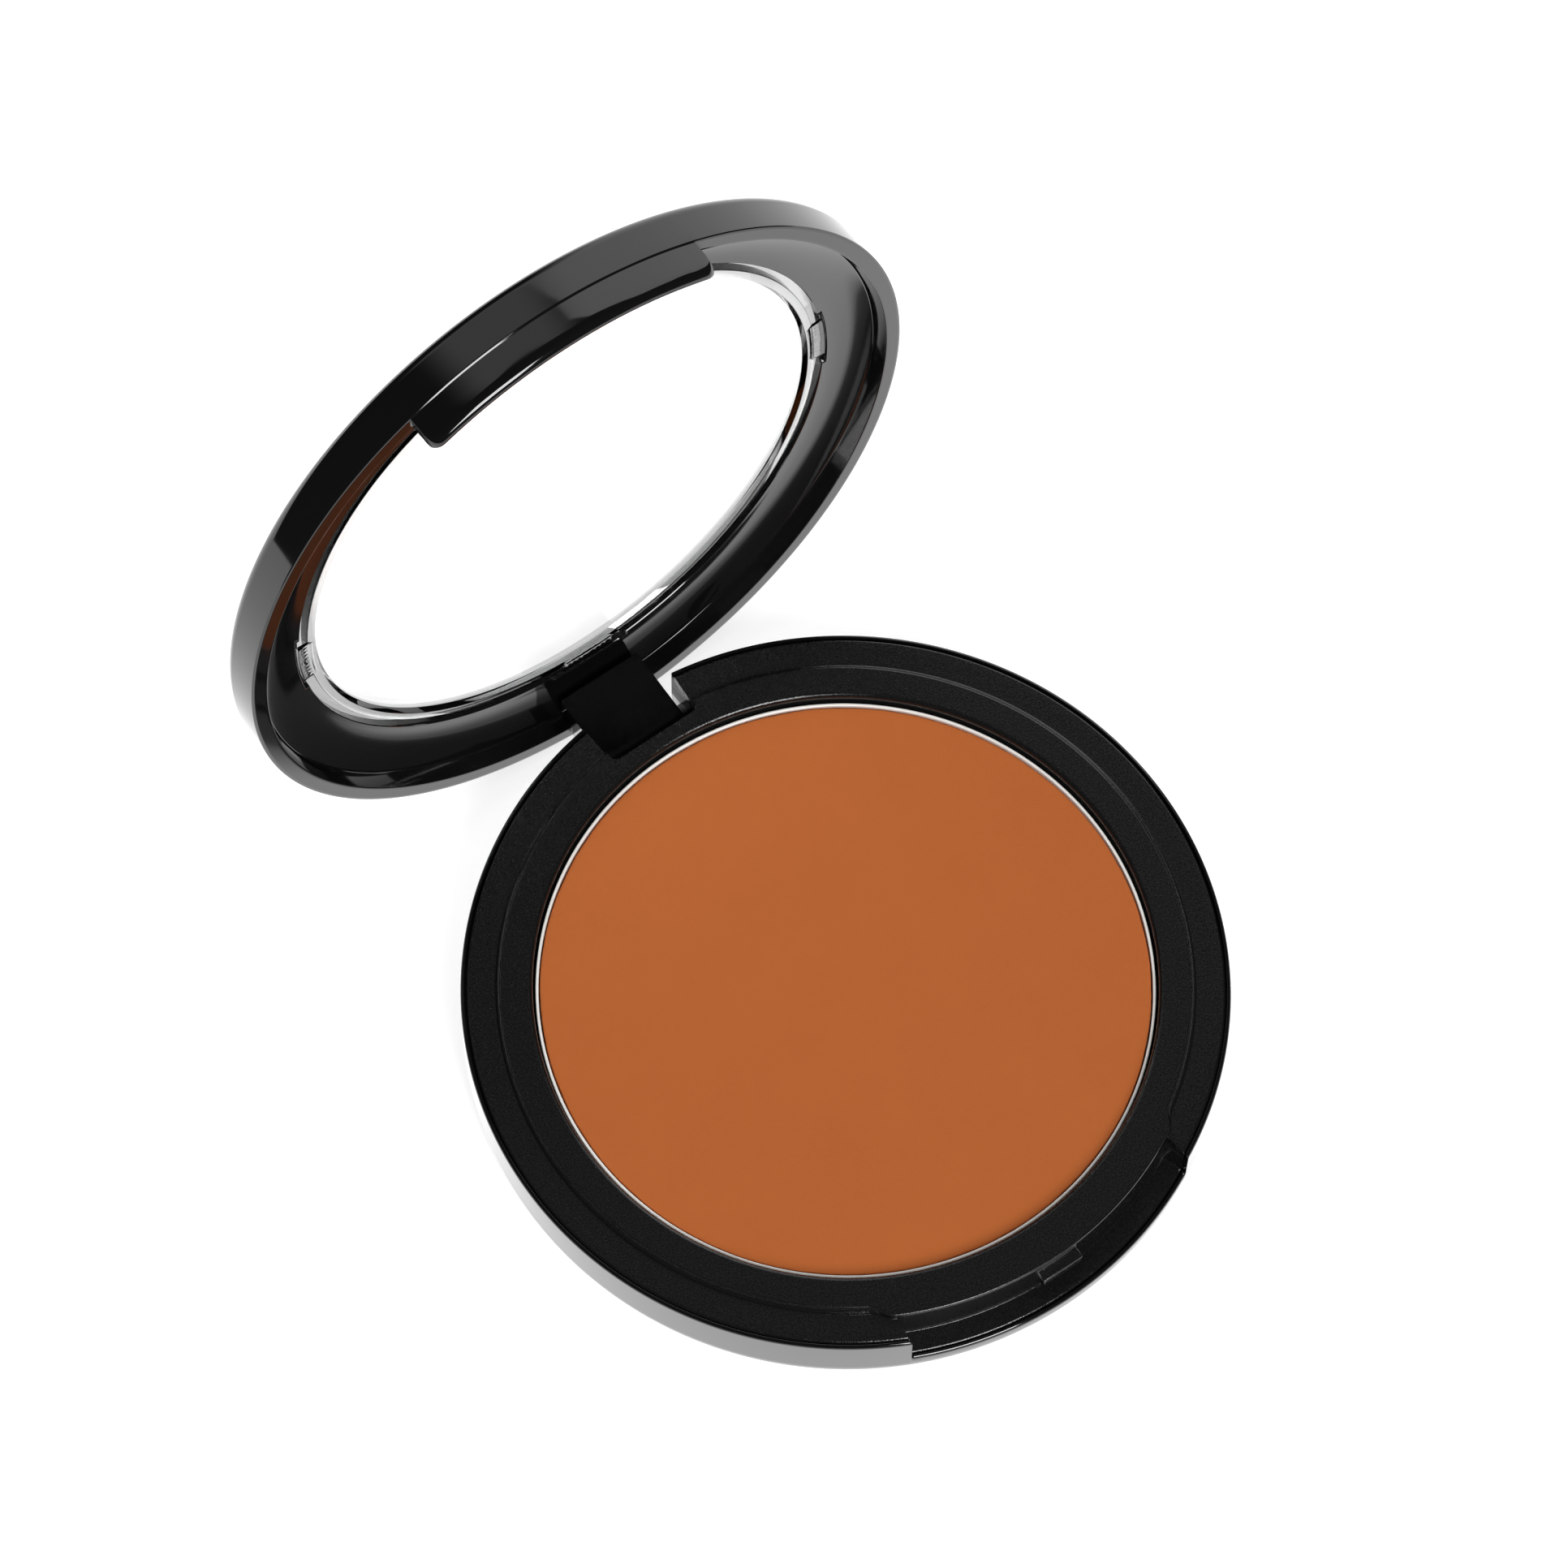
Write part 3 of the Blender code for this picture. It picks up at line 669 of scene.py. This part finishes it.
def lens_piece():
    """The clear disc, with its low ring wall inside and four hooks."""
    edge = 0.1
    flange_z = SEAT_Z + 0.2
    outer_c = LENS_WALL_R - edge
    wall_c = LENS_WALL_Z + edge
    outline = [(0.0, LID_Z)] + arc(LENS_R - edge, LID_Z - edge, edge, 90, 0, 3)
    outline += [(LENS_R, flange_z), (LENS_WALL_R, flange_z)]
    outline += arc(outer_c, wall_c, edge, 0, -90, 3) + arc(29.0, wall_c, edge, -90, -150, 2)
    foot_r = LENS_WALL_FOOT_R
    outline += [(foot_r + 0.15, LENS_FACE_Z - 0.02), (foot_r, LENS_FACE_Z), (0.0, LENS_FACE_Z)]
    lens = turned("lens", outline)
    hooks = []
    low = RIM_Z + 2.95
    high = RIM_Z + 3.25
    for angle in TAB_ANGLES:
        hooks.append(sector(f"hook_{angle}", 29.6, HOOK_R, low, high, angle, HOOK_DEG))
    return combine(lens, "UNION", hooks)


# ---------------------------------------------------------------- materials
def linear(rgb):
    """An sRGB colour, 0 to 255, as linear light with full alpha."""
    out = []
    for value in rgb:
        s = value / 255.0
        out.append(s / 12.92 if s <= 0.04045 else ((s + 0.055) / 1.055) ** 2.4)
    return (*out, 1.0)


class Nodes:
    """A short way to write a material's nodes."""

    def __init__(self, name):
        self.mat = bpy.data.materials.new(name)
        self.mat.use_nodes = True
        self.tree = self.mat.node_tree
        self.shader = self.tree.nodes["Principled BSDF"]
        self.place = self.add("ShaderNodeTexCoord").outputs["Object"]

    def add(self, kind, **values):
        node = self.tree.nodes.new(kind)
        for key, value in values.items():
            setattr(node, key, value)
        return node

    def link(self, a, b):
        self.tree.links.new(a, b)

    def noise(self, scale, detail=2.0, rough=0.5):
        node = self.add("ShaderNodeTexNoise")
        node.inputs["Scale"].default_value = scale
        node.inputs["Detail"].default_value = detail
        node.inputs["Roughness"].default_value = rough
        self.link(self.place, node.inputs["Vector"])
        return node.outputs["Fac"]

    def remap(self, value, low, high, out_low, out_high):
        node = self.add("ShaderNodeMapRange")
        limits = (low, high, out_low, out_high)
        for key, number in zip(("From Min", "From Max", "To Min", "To Max"), limits):
            node.inputs[key].default_value = number
        self.link(value, node.inputs["Value"])
        return node.outputs["Result"]

    def colours(self, value, low, high):
        node = self.add("ShaderNodeMix", data_type="RGBA")
        self.link(value, node.inputs["Factor"])
        for socket, colour in zip([s for s in node.inputs if s.type == "RGBA"], (low, high)):
            socket.default_value = colour
        return [s for s in node.outputs if s.type == "RGBA"][0]

    def bump(self, height, distance, strength=1.0):
        node = self.add("ShaderNodeBump")
        node.inputs["Distance"].default_value = distance
        node.inputs["Strength"].default_value = strength
        self.link(height, node.inputs["Height"])
        return node.outputs["Normal"]

    def set(self, **values):
        for key, value in values.items():
            socket = self.shader.inputs[key.replace("_", " ")]
            if isinstance(value, bpy.types.NodeSocket):
                self.link(value, socket)
            else:
                socket.default_value = value


def gloss_black(name):
    """Polished black moulded plastic, with a trace of haze and moulding ripple."""
    n = Nodes(name)
    haze = n.noise(180, 3)
    n.set(
        Base_Color=n.colours(n.noise(60, 2), linear((9, 9, 10)), linear((14, 14, 14))),
        Roughness=n.remap(haze, 0.35, 0.7, 0.045, 0.09),
        Normal=n.bump(n.noise(90, 1), 0.00003, 0.25),
        IOR=1.5,
    )
    return n.mat


def satin_black():
    """Black plastic, grained on the faces that look up and polished on the walls and edges."""
    n = Nodes("deck_satin")
    grain = n.noise(5500, 3, 0.6)
    parts = n.add("ShaderNodeSeparateXYZ")
    n.link(n.add("ShaderNodeTexCoord").outputs["Normal"], parts.inputs["Vector"])
    upward = n.remap(parts.outputs["Z"], 0.9, 0.99, 0.0, 1.0)
    speckle = n.remap(grain, 0.35, 0.65, 0.2, 0.34)
    rough = n.add("ShaderNodeMix", data_type="FLOAT")
    rough.inputs["A"].default_value = 0.09
    n.link(upward, rough.inputs["Factor"])
    n.link(speckle, rough.inputs["B"])
    n.set(
        Base_Color=n.colours(grain, linear((3, 3, 3)), linear((26, 26, 26))),
        Roughness=rough.outputs["Result"],
        Normal=n.bump(grain, 0.00004, 0.6),
        IOR=1.45,
    )
    return n.mat


def powder_tan():
    """Pressed powder: even, matt, with a very fine grain."""
    n = Nodes("powder_tan")
    grain = n.noise(5200, 4, 0.65)
    cloud = n.noise(130, 2)
    both = n.add("ShaderNodeMath", operation="MULTIPLY")
    n.link(grain, both.inputs[0])
    n.link(cloud, both.inputs[1])
    n.set(
        Base_Color=n.colours(both.outputs["Value"], linear((181, 99, 49)), linear((173, 92, 44))),
        Roughness=0.92,
        Normal=n.bump(grain, 0.00003, 0.5),
    )
    n.shader.inputs["Specular IOR Level"].default_value = 0.15
    return n.mat


def pan_metal():
    """Bright tinned metal, with fine turning marks."""
    n = Nodes("pan_metal")
    n.set(
        Base_Color=n.colours(n.noise(700, 3), linear((246, 243, 236)), linear((254, 252, 248))),
        Roughness=n.remap(n.noise(1500, 3), 0.3, 0.7, 0.45, 0.6),
        Normal=n.bump(n.noise(2500, 2), 0.00002, 0.4),
        Metallic=0.3,
    )
    return n.mat


def pin_steel():
    n = Nodes("pin_steel")
    n.set(
        Base_Color=n.colours(n.noise(900, 3), linear((150, 150, 152)), linear((185, 185, 186))),
        Roughness=n.remap(n.noise(1200, 3), 0.3, 0.7, 0.25, 0.4),
        Normal=n.bump(n.noise(3000, 2), 0.00002, 0.4),
        Metallic=1.0,
    )
    return n.mat


def label_paper():
    n = Nodes("label_paper")
    fibre = n.noise(1400, 5, 0.7)
    n.set(
        Base_Color=n.colours(fibre, linear((232, 230, 224)), linear((246, 245, 241))),
        Roughness=n.remap(fibre, 0.3, 0.7, 0.55, 0.75),
        Normal=n.bump(fibre, 0.00002, 0.5),
    )
    return n.mat


def glue_white():
    n = Nodes("glue_white")
    n.set(
        Base_Color=n.colours(n.noise(500, 3), linear((214, 208, 190)), linear((236, 232, 218))),
        Roughness=n.remap(n.noise(300, 2), 0.3, 0.7, 0.25, 0.45),
        Normal=n.bump(n.noise(400, 2), 0.0001, 0.4),
    )
    return n.mat


def window_reach(n):
    """Distance in metres from the middle of the window, worked out on the closed lid."""
    closing = Matrix.Rotation(OPEN, 4, "X")
    closed = n.add("ShaderNodeMapping")
    closed.inputs["Rotation"].default_value = (OPEN, 0, 0)
    closed.inputs["Location"].default_value = (AXIS - closing @ AXIS) * MM
    flat = n.add("ShaderNodeVectorMath", operation="MULTIPLY")
    flat.inputs[1].default_value = (1, 1, 0)
    reach = n.add("ShaderNodeVectorMath", operation="LENGTH")
    n.link(n.add("ShaderNodeTexCoord").outputs["Object"], closed.inputs["Vector"])
    n.link(closed.outputs["Vector"], flat.inputs[0])
    n.link(flat.outputs["Vector"], reach.inputs[0])
    return reach.outputs["Value"]


def clear_plastic():
    """Clear moulded plastic, a little grey in its ring wall and hooks. Light from the lamps
    passes straight through it."""
    n = Nodes("window_clear")
    wall = n.remap(window_reach(n), 28.5 * MM, 28.8 * MM, 0.0, 1.0)
    n.set(
        Base_Color=n.colours(wall, linear((255, 255, 255)), linear((186, 187, 186))),
        Roughness=n.remap(n.noise(240, 3), 0.35, 0.75, 0.0, 0.02),
        Normal=n.bump(n.noise(70, 1), 0.00001, 0.2),
        Transmission_Weight=1.0,
        IOR=1.49,
    )
    clear = n.add("ShaderNodeBsdfTransparent")
    clear.inputs["Color"].default_value = (0.93, 0.94, 0.94, 1)
    path = n.add("ShaderNodeLightPath")
    mix = n.add("ShaderNodeMixShader")
    out = n.tree.nodes["Material Output"]
    n.link(path.outputs["Is Shadow Ray"], mix.inputs["Fac"])
    n.link(n.shader.outputs["BSDF"], mix.inputs[1])
    n.link(clear.outputs["BSDF"], mix.inputs[2])
    n.link(mix.outputs["Shader"], out.inputs["Surface"])
    return n.mat


def dress(obj, mat, body, node):
    """Shades a piece so that its flats stay flat beside rounded edges, and puts it in the scene."""
    even = obj.modifiers.new("even_shading", "WEIGHTED_NORMAL")
    even.keep_sharp = True
    apply_steps(obj)
    obj.data.materials.clear()
    obj.data.materials.append(mat)
    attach(obj, body)
    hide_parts(node)


def build_object():
    dress(case_piece(), gloss_black("case_gloss"), "base", "base_shell")
    dress(frame_piece(), satin_black(), "base", "deck_frame")
    dress(pan_piece(), pan_metal(), "base", "powder_pan")
    dress(powder_piece(), powder_tan(), "base", "powder_cake")
    dress(label_piece(), label_paper(), "base", "base_label")
    dress(pin_piece(), pin_steel(), "base", "hinge_pin")
    dress(opened(lid_piece()), gloss_black("lid_gloss"), "lid", "lid_shell")
    dress(opened(lens_piece()), clear_plastic(), "lid", "window_lens")
    glue = glue_white()
    for name in ("pan_glue_1", "pan_glue_2", "pan_glue_3"):
        node = frame["nodes"][name]
        node.data.materials.clear()
        node.data.materials.append(glue)


# ---------------------------------------------------------------- stage, light and camera
GLOW = 1.8                  # strength of the floor that gloss reflects


def emission(name, strength):
    mat = bpy.data.materials.new(name)
    mat.use_nodes = True
    tree = mat.node_tree
    tree.nodes.clear()
    glow = tree.nodes.new("ShaderNodeEmission")
    glow.inputs["Strength"].default_value = strength
    out = tree.nodes.new("ShaderNodeOutputMaterial")
    tree.links.new(glow.outputs["Emission"], out.inputs["Surface"])
    return mat


def ramp(tree, value, limits):
    """A smooth change of a value, from (low, high) to (low, high)."""
    node = tree.nodes.new("ShaderNodeMapRange")
    node.interpolation_type = "SMOOTHSTEP"
    for key, number in zip(("From Min", "From Max", "To Min", "To Max"), limits):
        node.inputs[key].default_value = number
    tree.links.new(value, node.inputs["Value"])
    return node.outputs["Result"]


def backdrop_white():
    """White for the camera, straight or through the window, and dark to what gloss reflects."""
    mat = emission("backdrop_white", 1.0)
    tree = mat.node_tree
    path = tree.nodes.new("ShaderNodeLightPath")
    direct = tree.nodes.new("ShaderNodeMath")
    direct.operation = "LESS_THAN"
    direct.inputs[1].default_value = 0.5
    tree.links.new(path.outputs["Glossy Depth"], direct.inputs[0])
    tree.links.new(direct.outputs["Value"], tree.nodes["Emission"].inputs["Strength"])
    return mat


def floor_glow():
    """The bright floor that gloss reflects, darker in the contact shadow round the base."""
    mat = emission("floor_glow", GLOW)
    tree = mat.node_tree
    place = tree.nodes.new("ShaderNodeTexCoord")
    reach = tree.nodes.new("ShaderNodeVectorMath")
    reach.operation = "LENGTH"
    tree.links.new(place.outputs["Object"], reach.inputs[0])
    level = ramp(tree, reach.outputs["Value"], (35.5 * MM, 39.5 * MM, 0.6, GLOW))
    tree.links.new(level, tree.nodes["Emission"].inputs["Strength"])
    return mat


def seen_by(obj, **rays):
    """Only the named kinds of ray meet this object."""
    for kind in ("camera", "diffuse", "glossy", "transmission", "shadow"):
        setattr(obj, f"visible_{kind}", rays.get(kind, False))


def stage_plane(name, half_mm, drop, mat):
    """A level square, drop metres under the object."""
    bm = bmesh.new()
    bmesh.ops.create_grid(bm, x_segments=1, y_segments=1, size=half_mm)
    obj = new_object(name, bm)
    obj.location.z = -drop
    obj.data.materials.append(mat)
    return obj


def direction(azimuth, elevation):
    """A unit vector; azimuth 0 looks from the front (-Y) and grows towards the right (+X)."""
    a, e = math.radians(azimuth), math.radians(elevation)
    return Vector((math.sin(a) * math.cos(e), -math.cos(a) * math.cos(e), math.sin(e)))


def card_glow(name, strength, fades):
    """Light that fades in over the first share of a card's azimuths and out over the last."""
    mat = emission(name, strength)
    tree = mat.node_tree
    across = tree.nodes.new("ShaderNodeSeparateXYZ")
    place = tree.nodes.new("ShaderNodeTexCoord")
    tree.links.new(place.outputs["UV"], across.inputs["Vector"])
    level = tree.nodes.new("ShaderNodeMath")
    level.operation = "MULTIPLY"
    tree.links.new(ramp(tree, across.outputs["X"], (0.0, fades[0], 0.0, strength)), level.inputs[0])
    tree.links.new(ramp(tree, across.outputs["X"], (1 - fades[1], 1.0, 1.0, 0.0)), level.inputs[1])
    tree.links.new(level.outputs["Value"], tree.nodes["Emission"].inputs["Strength"])
    both = tree.nodes.new("ShaderNodeAddShader")
    clear = tree.nodes.new("ShaderNodeBsdfTransparent")
    tree.links.new(tree.nodes["Emission"].outputs["Emission"], both.inputs[0])
    tree.links.new(clear.outputs["BSDF"], both.inputs[1])
    tree.links.new(both.outputs["Shader"], tree.nodes["Material Output"].inputs["Surface"])
    return mat


def card(name, azimuths, elevations, strength, fades, distance_mm, steps=12):
    """A bright card on a sphere about the object, which only glossy surfaces see."""
    bm = bmesh.new()
    shares = bm.loops.layers.uv.new("shares")
    grid = []
    for i in range(steps + 1):
        azimuth = azimuths[0] + (azimuths[1] - azimuths[0]) * i / steps
        column = []
        for k in range(steps + 1):
            elevation = elevations[0] + (elevations[1] - elevations[0]) * k / steps
            column.append(bm.verts.new(direction(azimuth, elevation) * distance_mm))
        grid.append(column)
    for i, (a, b) in enumerate(zip(grid, grid[1:])):
        for k in range(steps):
            face = bm.faces.new((a[k], a[k + 1], b[k + 1], b[k]))
            corners = ((i, k), (i, k + 1), (i + 1, k + 1), (i + 1, k))
            for loop, (column, row) in zip(face.loops, corners):
                loop[shares].uv = (column / steps, row / steps)
    obj = new_object(name, bm)
    obj.data.materials.append(card_glow(name, strength, fades))
    seen_by(obj, glossy=True)


def build_stage():
    """A white floor for the camera, and under it a bright one for what the gloss reflects."""
    white = bpy.data.materials.new("floor_white")
    white.use_nodes = True
    shader = white.node_tree.nodes["Principled BSDF"]
    shader.inputs["Base Color"].default_value = (0.7, 0.7, 0.7, 1)
    shader.inputs["Roughness"].default_value = 0.9
    shader.inputs["Specular IOR Level"].default_value = 0.0
    shader.inputs["Emission Color"].default_value = (1, 1, 1, 1)
    shader.inputs["Emission Strength"].default_value = 0.75
    floor = stage_plane("floor", 3000, 0.0002, white)
    seen_by(floor, camera=True, diffuse=True, transmission=True, shadow=True)
    glow = stage_plane("floor_glow", 500, 0.0004, floor_glow())
    seen_by(glow, glossy=True)
    bm = bmesh.new()
    bmesh.ops.create_uvsphere(bm, u_segments=48, v_segments=24, radius=4000)
    backdrop = new_object("backdrop", bm)
    backdrop.data.materials.append(backdrop_white())
    seen_by(backdrop, camera=True, transmission=True)
    card("side_card", (108, 166), (-9, 51), 1.7, (0.04, 0.35), 1600)
    card("back_card", (146, 212), (33, 57), 0.8, (0.3, 0.25), 1700)


def soft_light(name, azimuth, elevation, distance, size, radiance):
    """A rectangular soft box that faces the object."""
    away = direction(azimuth, elevation)
    light = bpy.data.lights.new(name, "AREA")
    light.shape = "RECTANGLE"
    light.size, light.size_y = size
    light.energy = radiance * size[0] * size[1] * math.pi
    obj = bpy.data.objects.new(name, light)
    obj.location = away * distance
    obj.rotation_mode = "QUATERNION"
    obj.rotation_quaternion = (-away).to_track_quat("-Z", "Y")
    bpy.context.scene.collection.objects.link(obj)
    return obj


def build_lights():
    world = bpy.data.worlds.new("studio")
    bpy.context.scene.world = world
    world.use_nodes = True
    world.node_tree.nodes["Background"].inputs["Color"].default_value = (0.05, 0.05, 0.05, 1)
    soft_light("key_box", -8, 42, 1.5, (0.5, 0.7), 18.0)
    fill = soft_light("top_fill", -60, 82, 2.0, (2.4, 2.4), 1.0)
    fill.visible_glossy = False
    fill.visible_transmission = False
    bpy.context.scene.view_settings.view_transform = "Standard"


AZIMUTH = -36.77
ELEVATION = 66.2


def build_camera():
    """The camera stands to the front left and looks steeply down."""
    azimuth = math.radians(AZIMUTH)
    roll = math.radians(1.43)
    distance = 0.71508
    target = Vector((7.497, 21.044, DECK_Z)) * MM
    back = direction(AZIMUTH, ELEVATION)
    right = Vector((math.cos(azimuth), math.sin(azimuth), 0))
    up = back.cross(right)
    tilted_right = right * math.cos(roll) + up * math.sin(roll)
    tilted_up = up * math.cos(roll) - right * math.sin(roll)
    camera = bpy.data.objects.new("camera", bpy.data.cameras.new("camera"))
    camera.data.lens = 164.6
    camera.data.sensor_width = 36
    camera.data.clip_start = 0.05
    turn = Matrix((tilted_right, tilted_up, back)).transposed()
    camera.matrix_world = Matrix.Translation(target + back * distance) @ turn.to_4x4()
    bpy.context.scene.collection.objects.link(camera)
    bpy.context.scene.camera = camera


build_object()
build_stage()
build_lights()
build_camera()
